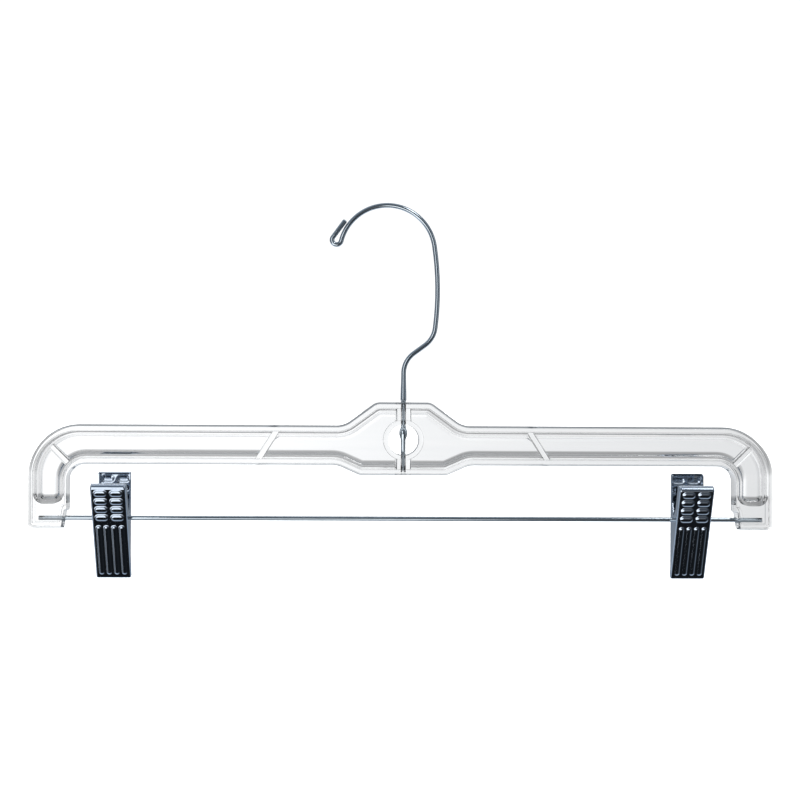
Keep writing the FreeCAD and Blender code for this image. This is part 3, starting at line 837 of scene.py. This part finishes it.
def pattern_tree():
    """Geometry nodes that press the ovals and the upright ribs out of a leg's face, towards -Y."""
    sizes = ("Emboss", "Soft edge", "Oval length", "Oval width", "Oval pitch", "Oval column", "Oval rows",
             "Oval first height", "Rib length", "Rib width", "Rib pitch", "Ribs", "Rib middle height")
    tree, given = new_geometry_tree("Pressed pattern", dict.fromkeys(sizes, "Float"))
    place = add(tree, "ShaderNodeSeparateXYZ",
                inputs={0: add(tree, "GeometryNodeInputPosition").outputs[0]}).outputs
    known = {label: given[label] for label in sizes} | {"X": place["X"], "Z": place["Z"]}
    # each sum is its name, an operation and its terms: numbers, or names of inputs and of earlier sums
    sums = (
        ("off middle", "ABSOLUTE", "X"), ("column", "SUBTRACT", "off middle", "Oval column"),
        ("below", "SUBTRACT", "Oval first height", "Z"), ("last row", "SUBTRACT", "Oval rows", 1.0),
        ("rows down", "DIVIDE", "below", "Oval pitch"), ("nearest row", "ROUND", "rows down"),
        ("row or first", "MAXIMUM", "nearest row", 0.0), ("row", "MINIMUM", "row or first", "last row"),
        ("row depth", "MULTIPLY", "row", "Oval pitch"), ("off row", "SUBTRACT", "below", "row depth"),
        *pad_steps("oval", "column", "off row", "Oval length", "Oval width"),
        ("last rib", "SUBTRACT", "Ribs", 1.0), ("middle", "MULTIPLY", "last rib", 0.5),
        ("ribs out", "DIVIDE", "X", "Rib pitch"), ("ribs along", "ADD", "ribs out", "middle"),
        ("nearest rib", "ROUND", "ribs along"), ("rib or first", "MAXIMUM", "nearest rib", 0.0),
        ("number", "MINIMUM", "rib or first", "last rib"), ("from middle", "SUBTRACT", "number", "middle"),
        ("rib place", "MULTIPLY", "from middle", "Rib pitch"), ("off rib", "SUBTRACT", "X", "rib place"),
        ("up rib", "SUBTRACT", "Z", "Rib middle height"),
        *pad_steps("rib", "up rib", "off rib", "Rib length", "Rib width"),
        ("nearest", "MINIMUM", "oval", "rib"), ("inwards", "MULTIPLY", "nearest", -1.0),
        # steepest at its edge and level at its crown, as sheet drawn over a round-nosed punch
        ("part way", "DIVIDE", "inwards", "Soft edge"), ("not outside", "MAXIMUM", "part way", 0.0),
        ("share", "MINIMUM", "not outside", 1.0), ("left over", "SUBTRACT", 2.0, "share"),
        ("curved", "MULTIPLY", "share", "left over"), ("raised", "MULTIPLY", "Emboss", "curved"),
        ("forwards", "MULTIPLY", "raised", -1.0),
    )
    for name, operation, *terms in sums:
        values = {i: known[term] if isinstance(term, str) else term for i, term in enumerate(terms)}
        known[name] = add(tree, "ShaderNodeMath", {"operation": operation}, values).outputs[0]
    out = add(tree, "ShaderNodeCombineXYZ", inputs={"Y": known["forwards"]})
    pressed = add(tree, "GeometryNodeSetPosition",
                  inputs={"Geometry": given["Geometry"], "Offset": out.outputs[0]})
    close_geometry_tree(tree, pressed.outputs[0], given["Material"])
    return tree


def wall_edge(c):
    """The free edge of a leg's side walls as (height, depth) points, from the top down."""
    lean = math.tan(c.leg_angle / 2)
    handle = c.flange - c.face
    edge = []
    for a in (90, 67, 45, 22, 0):
        edge.append((c.handle - c.corner_r * (1 - math.sin(math.radians(a))),
                     handle - c.corner_r * (1 - math.cos(math.radians(a)))))
    edge += [(c.ear_top, handle), (1.16 * c.ear_r, -0.62 * c.ear_r), (0.99 * c.ear_r, 0.0)]
    for a in (60, 35, 10, -15, -40, -65, -80):
        edge.append((c.ear_r * math.sin(math.radians(a)), c.ear_r * math.cos(math.radians(a))))
    tooth_top = c.teeth * c.tooth - c.jaw
    for z in (-1.6 * c.ear_r, tooth_top + 0.02 * MM):
        edge.append((z, z * lean - c.jaw_setback))
    for i in range(c.teeth):
        z = tooth_top - i * c.tooth
        edge.append((z, z * lean - c.jaw_gap - c.tooth_depth))
        z -= c.tooth / 2
        edge.append((z, z * lean - c.jaw_gap))
    edge.append((-c.jaw, -c.jaw * lean - c.jaw_gap))
    return edge


def at_height(edge, z):
    for (z0, y0), (z1, y1) in zip(edge, edge[1:]):
        if z0 >= z >= z1:
            return y0 if z0 == z1 else y0 + (y1 - y0) * (z - z0) / (z1 - z0)
    return edge[-1][1] if z < edge[-1][0] else edge[0][1]


def spaced(low, high, pitch, bend, keep=()):
    """Grid lines from low to high: close together at both ends, at the kept values, and evenly between."""
    near = [bend * k / FOLD_STEPS for k in range(FOLD_STEPS + 1)]
    fixed = sorted([low + d for d in near] + [high - d for d in near] + [k for k in keep if low < k < high])
    lines = []
    for a, b in zip(fixed, fixed[1:]):
        if b - a < 0.03 * MM:
            continue
        count = max(1, math.ceil((b - a) / pitch))
        lines += [a + (b - a) * k / count for k in range(count)]
    return lines + [high]


def leg_skin(c, width):
    """The outer skin of one leg: face, top, jaw end and side walls, with rounded folds."""
    half, bend, edge = width / 2, c.bend_r, wall_edge(c)
    xs = spaced(-half, half, LEG_GRID, bend)
    zs = spaced(-c.jaw, c.handle, LEG_GRID, bend, [z for z, _ in edge])

    def place(x, y, z):
        """Round the folds of the square-cornered skin."""
        into, down = y + c.face, c.handle - z
        if into < c.corner_r and down < c.corner_r:
            # the handle's top corner, seen from the side
            a, b = c.corner_r - into, c.corner_r - down
            big = max(a, b) / math.hypot(a, b) if a or b else 1.0
            y, z = -c.face + c.corner_r - a * big, c.handle - c.corner_r + b * big
            into, down = y + c.face, c.handle - z
            gap = c.corner_r - math.hypot(c.corner_r - into, c.corner_r - down)
            way = Vector((c.corner_r - into, c.corner_r - down)) if gap < c.corner_r else Vector((1, 0))
            way = Vector((way.x, -way.y)).normalized()
        elif into < bend and z + c.jaw < bend:
            # the fold at the jaw
            up = z + c.jaw
            a, b = bend - into, bend - up
            big = max(a, b) / math.hypot(a, b) if a or b else 1.0
            y, z = -c.face + bend - a * big, -c.jaw + bend - b * big
            way = Vector((bend - (y + c.face), bend - (z + c.jaw)))
            gap = bend - way.length
            way = way.normalized() if way.length else Vector((1, 0))
        else:
            up = z + c.jaw
            gap = min(into, down, up)
            way = Vector((1, 0)) if gap == into else Vector((0, -1)) if gap == down else Vector((0, 1))
        side = half - abs(x)
        a, b = max(bend - side, 0.0), max(bend - gap, 0.0)
        if a > 0 and b > 0:
            reach = math.hypot(a, b)
            x = math.copysign(half - bend + bend * a / reach, x)
            moved = bend - bend * b / reach - gap
            y, z = y + way.x * moved, z + way.y * moved
        return x, y, z

    bm = bmesh.new()

    def grid(rows):
        made = [[bm.verts.new(place(*p)) for p in row] for row in rows]
        for low, high in zip(made, made[1:]):
            for i in range(1, len(low)):
                bm.faces.new((low[i - 1], low[i], high[i], high[i - 1]))

    def depths(z):
        far = at_height(edge, z)
        near = [-c.face + bend * k / FOLD_STEPS for k in range(FOLD_STEPS + 1)]
        return near + [near[-1] + (far - near[-1]) * k / WALL_STEPS for k in range(1, WALL_STEPS + 1)]

    grid([[(x, -c.face, z) for x in xs] for z in zs])
    for side in (-half, half):
        grid([[(side, y, z) for y in depths(z)] for z in zs])
    for z in (-c.jaw, c.handle):
        grid([[(x, y, z) for x in xs] for y in depths(z)])
    return bm


def leg_mesh(c, name, width, tree, steel):
    """One leg in its own frame: pressed, given the sheet's thickness, and bored for the bar."""
    leg = new_object(name, mesh_from(name, leg_skin(c, width)))
    bm = bmesh.new()
    bm.from_mesh(leg.data)
    # an open shell: its face has to look towards -Y
    flat = min(bm.faces, key=lambda f: (f.calc_center_median() - Vector((0, -c.face, 0))).length)
    if flat.normal.y > 0:
        bmesh.ops.reverse_faces(bm, faces=bm.faces)
    bm.to_mesh(leg.data)
    bm.free()
    with_tree(leg, tree, {
        "Emboss": c.emboss, "Soft edge": c.soft_edge, "Oval length": c.oval_length,
        "Oval width": c.oval_width, "Oval pitch": c.oval_pitch, "Oval column": c.oval_column,
        "Oval rows": float(c.oval_rows), "Oval first height": c.handle - c.oval_top,
        "Rib length": c.rib_length, "Rib width": c.rib_width, "Rib pitch": c.rib_pitch,
        "Ribs": float(c.ribs), "Rib middle height": c.rib_foot - c.jaw + c.rib_length / 2,
        "Material": steel})
    wall = leg.modifiers.new("sheet", "SOLIDIFY")
    wall.thickness, wall.offset = c.sheet, -1.0
    settled(leg)
    bore = bpy.context.scene.hanger_wires.bar_r + c.running
    carve(leg, [("DIFFERENCE", rod(bore, (-width, 0, 0), (width, 0, 0), WIRE_SIDES))])
    return leg


class HANGER_OT_clip_legs(bpy.types.Operator):
    """Press the four legs of the two pinch clips"""
    bl_idname = "hanger.clip_legs"
    bl_label = "Clip legs"

    def execute(self, context):
        c, f = context.scene.hanger_clips, context.scene.hanger_finishes
        # rolling lines run down the sheet: about 0.4 mm apart across it, 10 mm long
        steel = lined_steel("nickel_plated_pressed_steel", f.nickel, linear("#A8B4C4"), "Object",
                             (2500.0, 100.0, 100.0), (0.06, 0.13), 0.0015 * MM)
        tree = pattern_tree()
        shapes = {
            "front": (c.width, Matrix.Rotation(c.leg_angle, 4, "X")),
            "back": (c.width - 2 * c.sheet - 2 * c.nest, Matrix.Rotation(math.pi, 4, "Z")),
        }
        for leg, (width, turn) in shapes.items():
            made = leg_mesh(c, f"{leg}_leg", width, tree, steel)
            for side, x in (("left", -CLIP_X), ("right", CLIP_X)):
                mesh = made.data.copy()
                mesh.transform(Matrix.Translation((x, 0, BAR_Z)) @ turn)
                must_have(mesh, 5000)
                smooth(mesh, 35)
                piece = new_object(f"{side}_clip_{leg}_plate", mesh)
                give(piece, steel)
                hand_over(piece, f"{side}_clip_{leg}", f"{side}_clip_{leg}_leg")
            bpy.data.objects.remove(made)
        return {"FINISHED"}


def spring_line(c, w):
    """The strip's middle line as (y, z): down one arm, round under the bar and up the other arm."""
    loop_r = w.bar_r + c.running + c.spring_sheet / 2
    depth = c.face - c.sheet - c.spring_gap - c.spring_sheet / 2
    turn = Matrix.Rotation(c.leg_angle, 2)
    front, back = turn @ Vector((-depth, c.spring_arm)), Vector((depth, c.spring_arm))

    def touch(point, side):
        return math.atan2(point.y, point.x) + side * math.acos(loop_r / point.length)

    first, last = touch(front, 1), touch(back, -1)
    sweep = (last - first) % math.tau
    turns = [first + sweep * k / LOOP_STEPS for k in range(LOOP_STEPS + 1)]
    loop = [Vector((math.cos(a), math.sin(a))) * loop_r for a in turns]
    arm = [front.lerp(loop[0], k / ARM_STEPS) for k in range(ARM_STEPS)]
    other = [loop[-1].lerp(back, k / ARM_STEPS) for k in range(1, ARM_STEPS + 1)]
    return arm + loop + other


class HANGER_OT_clip_springs(bpy.types.Operator):
    """Bend the strip springs of the two pinch clips"""
    bl_idname = "hanger.clip_springs"
    bl_label = "Clip springs"

    def execute(self, context):
        c, w, f = (getattr(context.scene, k) for k in ("hanger_clips", "hanger_wires", "hanger_finishes"))
        # slitting and rolling lines along the strip, about 0.5 mm apart
        strip = lined_steel("tempered_strip_steel", f.strip, linear("#6C747C"), "Object",
                             (2000.0, 90.0, 90.0), (0.18, 0.34), 0.005 * MM)
        tree = path_tree("Bent strip", True)
        for side, x in (("left", -CLIP_X), ("right", CLIP_X)):
            line = [(x, y, z + BAR_Z) for y, z in spring_line(c, w)]
            spring = line_object(f"{side}_clip_strip_spring", line)
            settled(with_tree(spring, tree, {
                "Width": c.spring_width, "Thickness": c.spring_sheet, "Edge radius": 0.12 * MM,
                "Material": strip}))
            must_have(spring.data, 100)
            smooth(spring.data, 50)
            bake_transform(spring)
            hand_over(spring, None, f"{side}_clip_spring")
        return {"FINISHED"}


# ---------------------------------------------------------------- studio

def studio_world():
    """A pale sweep behind and above, a dim room in front, and dark below, as round a product table."""
    world = bpy.data.worlds.new("studio")
    bpy.context.scene.world = world
    world.use_nodes = True
    tree = world.node_tree
    tree.nodes.clear()
    way = add(tree, "ShaderNodeSeparateXYZ",
              inputs={0: add(tree, "ShaderNodeTexCoord").outputs["Generated"]}).outputs

    aside = add(tree, "ShaderNodeMath", {"operation": "ABSOLUTE"}, {0: way["X"]}).outputs[0]
    towards = {"X": way["X"], "Z": way["Z"], "aside": aside}
    white, cool = (1.0, 1.0, 1.0), (0.86, 0.97, 1.1)
    # what is read, the tint, and (place, brightness) stops along it
    bands = {
        "behind": ("Z", white, ((-1.0, 0.45), (-0.5, 0.42), (-0.28, 0.5), (-0.14, 0.8),
                                (-0.08, 1.15), (1.0, 1.2))),
        "before": ("Z", white, ((-1.0, 0.42), (-0.4, 0.42), (-0.12, 0.65), (-0.03, 0.9), (1.0, 1.0))),
        # the sweep is brightest straight behind and a little to the left
        "spread": ("X", white, ((-1.0, 0.7), (-0.5, 0.8), (-0.3, 1.0), (-0.05, 1.0), (0.05, 0.88),
                                (0.13, 0.82), (0.25, 0.74), (0.6, 0.62), (1.0, 0.58))),
        # in the bright metal the sweep is flagged off, and the camera stands in the dark
        "flagged": ("Z", cool, ((-1.0, 0.75), (-0.75, 0.95), (-0.45, 0.9), (-0.2, 0.38), (0.0, 0.24),
                                (0.3, 0.3), (1.0, 0.6))),
        "sides": ("X", white, ((-1.0, 1.3), (-0.5, 1.2), (0.0, 1.0), (1.0, 0.9))),
        "room": ("Z", cool, ((-1.0, 0.03), (-0.7, 0.03), (-0.45, 0.06), (-0.2, 0.2), (0.0, 0.26),
                             (0.3, 0.32), (0.7, 0.45), (1.0, 0.7))),
        "stand": ("aside", white, ((0.0, 0.4), (0.16, 0.42), (0.42, 0.6), (1.0, 0.8))),
        # a lit board in front, low and to the left
        "board": ("Z", white, ((-0.74, 0.0), (-0.68, 2.0), (-0.3, 2.0), (-0.24, 0.0))),
        "board end": ("X", white, ((-0.7, 0.0), (-0.6, 1.0), (0.03, 1.0), (0.12, 0.12), (0.5, 0.0))),
    }
    known = {}
    for name, (direction, tint, stops) in bands.items():
        share = add(tree, "ShaderNodeMapRange",
                    inputs={"Value": towards[direction], "From Min": -1.0, "From Max": 1.0})
        node = add(tree, "ShaderNodeValToRGB", inputs={"Fac": share.outputs[0]})
        elements = node.color_ramp.elements
        while len(elements) < len(stops):
            elements.new(0.5)
        for element, (place, brightness) in zip(elements, stops):
            element.position = (place + 1) / 2
            element.color = (*(brightness * channel for channel in tint), 1.0)
        known[name] = node.outputs["Color"]
    depth = add(tree, "ShaderNodeMapRange", {"interpolation_type": "SMOOTHSTEP"},
                {"Value": way["Y"], "From Min": -0.35, "From Max": 0.45}).outputs[0]
    ray = add(tree, "ShaderNodeLightPath").outputs
    # a ray that goes on through the clear body counts as glossy too, and is no mirror
    mirror = add(tree, "ShaderNodeMath", {"operation": "SUBTRACT", "use_clamp": True},
                 {0: ray["Is Glossy Ray"], 1: ray["Is Transmission Ray"]}).outputs[0]
    # the sweep is overexposed where it is seen directly
    known["overexposed"] = (1.1, 1.1, 1.1, 1.0)
    blends = (
        ("sweep", "MULTIPLY", 1.0, "behind", "spread"),
        ("seen through", "MIX", depth, "before", "sweep"),
        ("dim front", "MULTIPLY", 1.0, "room", "stand"),
        ("lit board", "MULTIPLY", 1.0, "board", "board end"),
        ("front", "ADD", 1.0, "dim front", "lit board"),
        ("back", "MULTIPLY", 1.0, "flagged", "sides"),
        ("mirrored", "MIX", depth, "front", "back"),
        ("around", "MIX", mirror, "seen through", "mirrored"),
        ("seen", "MIX", ray["Is Camera Ray"], "around", "overexposed"),
    )
    for name, kind, factor, one, other in blends:
        known[name] = add(tree, "ShaderNodeMix", {"data_type": "RGBA", "blend_type": kind},
                          {"Factor": factor, 6: known[one], 7: known[other]}).outputs[2]
    glow = add(tree, "ShaderNodeBackground", inputs={"Color": known["seen"], "Strength": 1.0})
    add(tree, "ShaderNodeOutputWorld", inputs={"Surface": glow.outputs[0]})


def softbox(name, place, aim, width, height, power):
    """A soft area lamp that the metal mirrors. Its outline doesn't show through the clear body."""
    lamp = bpy.data.lights.new(name, "AREA")
    lamp.shape, lamp.size, lamp.size_y, lamp.energy = "RECTANGLE", width, height, power
    thing = new_object(name, lamp)
    thing.location = place
    thing.rotation_euler = (Vector(aim) - Vector(place)).to_track_quat("-Z", "Y").to_euler()
    thing.visible_camera = thing.visible_transmission = False


class HANGER_OT_studio(bpy.types.Operator):
    """Lay the floor, light the studio and place the camera"""
    bl_idname = "hanger.studio"
    bl_label = "Studio"

    def execute(self, context):
        st, f = context.scene.hanger_studio, context.scene.hanger_finishes
        level = CAD_BOX[0].z - st.floor_drop
        bm = bmesh.new()
        bmesh.ops.create_grid(bm, x_segments=8, y_segments=8, size=30.0)
        bmesh.ops.translate(bm, verts=bm.verts, vec=(0, 0, level))
        floor = new_object("floor", mesh_from("floor", bm))
        paper, tree = new_material("matt_background_paper")
        # a matt paper roll: a faint cloud in its white, a metre across
        cloud = add(tree, "ShaderNodeTexNoise", inputs={
            "Vector": add(tree, "ShaderNodeTexCoord").outputs["Object"], "Scale": 1.0, "Detail": 1.0})
        white = add(tree, "ShaderNodeMix", {"data_type": "RGBA"}, {
            "Factor": cloud.outputs["Fac"], 6: (*f.floor, 1.0), 7: (*linear("#FAFAFA"), 1.0)})
        shader = add(tree, "ShaderNodeBsdfPrincipled", inputs={
            "Base Color": white.outputs[2], "Roughness": 0.9, "Specular IOR Level": 0.1})
        add(tree, "ShaderNodeOutputMaterial", inputs={"Surface": shader.outputs[0]})
        give(floor, paper)
        floor.visible_glossy = floor.visible_transmission = False
        studio_world()
        softbox("key", (-0.42, -0.95, 0.02), (0, 0, -0.08), 0.4, 0.6, 1.3)
        softbox("fill", (1.3, -0.5, 0.15), (0, 0, -0.08), 0.25, 0.9, 0.6)
        softbox("top", (0.5, -0.7, 0.9), (0, 0, -0.03), 0.3, 0.3, 1.8)
        sun = bpy.data.lights.new("overhead", "SUN")
        sun.energy, sun.angle = 3.2, math.radians(40)
        overhead = new_object("overhead", sun)
        overhead.visible_glossy = overhead.visible_transmission = False

        view = Vector((math.sin(st.azimuth), math.cos(st.azimuth), 0))
        across = Vector((math.cos(st.azimuth), -math.sin(st.azimuth), 0))
        right = across * math.cos(st.roll) + Vector((0, 0, 1)) * math.sin(st.roll)
        up = (-view).cross(right)
        camera = bpy.data.cameras.new("camera")
        camera.lens, camera.sensor_width, camera.clip_start, camera.clip_end = st.lens, 36.0, 0.01, 200.0
        eye = new_object("camera", camera)
        turn = Matrix((right, up, -view)).transposed().to_4x4()
        place = Vector((st.target_x, 0, st.target_z)) - view * st.distance
        eye.matrix_world = Matrix.Translation(place) @ turn
        context.scene.camera = eye
        context.scene.view_settings.view_transform = "Standard"
        return {"FINISHED"}


OPERATORS = (
    HANGER_OT_clear_body, HANGER_OT_wires, HANGER_OT_clip_legs, HANGER_OT_clip_springs, HANGER_OT_studio,
)


class HANGER_PT_panel(bpy.types.Panel):
    """The hanger's pieces, in the order they are made"""
    bl_idname = "HANGER_PT_panel"
    bl_label = "Clear clip hanger"
    bl_space_type = "VIEW_3D"
    bl_region_type = "UI"
    bl_category = "Hanger"

    def draw(self, context):
        for operator in OPERATORS:
            self.layout.operator(operator.bl_idname)
        for name, group in GROUPS.items():
            box = self.layout.box()
            box.label(text=group.__name__)
            for setting in group.__annotations__:
                box.prop(getattr(context.scene, name), setting)


CLASSES = (*GROUPS.values(), *OPERATORS, HANGER_PT_panel)


def register():
    for made in CLASSES:
        bpy.utils.register_class(made)
    for name, group in GROUPS.items():
        setattr(bpy.types.Scene, name, bpy.props.PointerProperty(type=group))


def unregister():
    for name in GROUPS:
        delattr(bpy.types.Scene, name)
    for made in reversed(CLASSES):
        bpy.utils.unregister_class(made)


def main():
    register()
    for operator in OPERATORS:
        family, name = operator.bl_idname.split(".")
        getattr(getattr(bpy.ops, family), name)()


if __name__ == "__main__":
    main()
